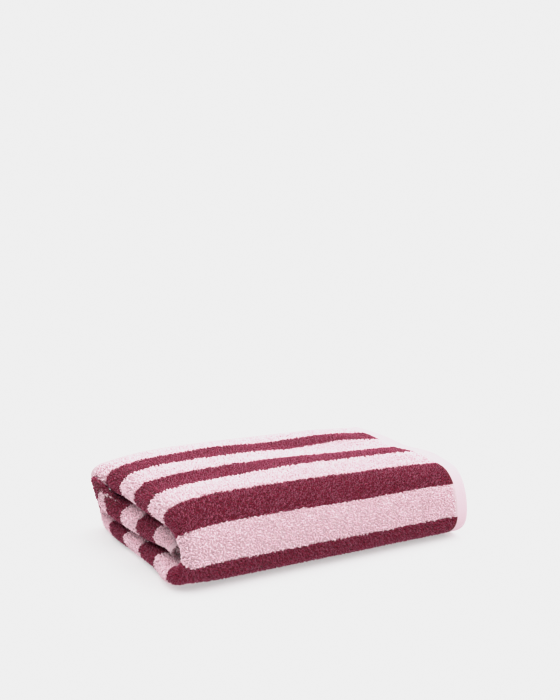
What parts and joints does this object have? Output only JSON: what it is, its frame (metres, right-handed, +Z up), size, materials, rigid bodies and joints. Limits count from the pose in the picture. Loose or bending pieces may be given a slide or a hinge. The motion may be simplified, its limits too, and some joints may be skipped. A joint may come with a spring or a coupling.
{
  "type": "folded bath towel",
  "caption": "Folded bath towel of plush striped terry cloth, with a rounded front spine and its hems together at one end.",
  "frame": {"origin": "middle of the footprint, on the surface that the towel rests on", "axes": "+X along the package from the rounded fold end to the hem end, +Y from the front spine to the back, +Z up"},
  "size_m": [0.3494, 0.2332, 0.0836],
  "materials": {
    "terry": "looped cotton pile, matt"
  },
  "bodies": {
    "root": {"towel": "terry"}
  },
  "joints": []
}
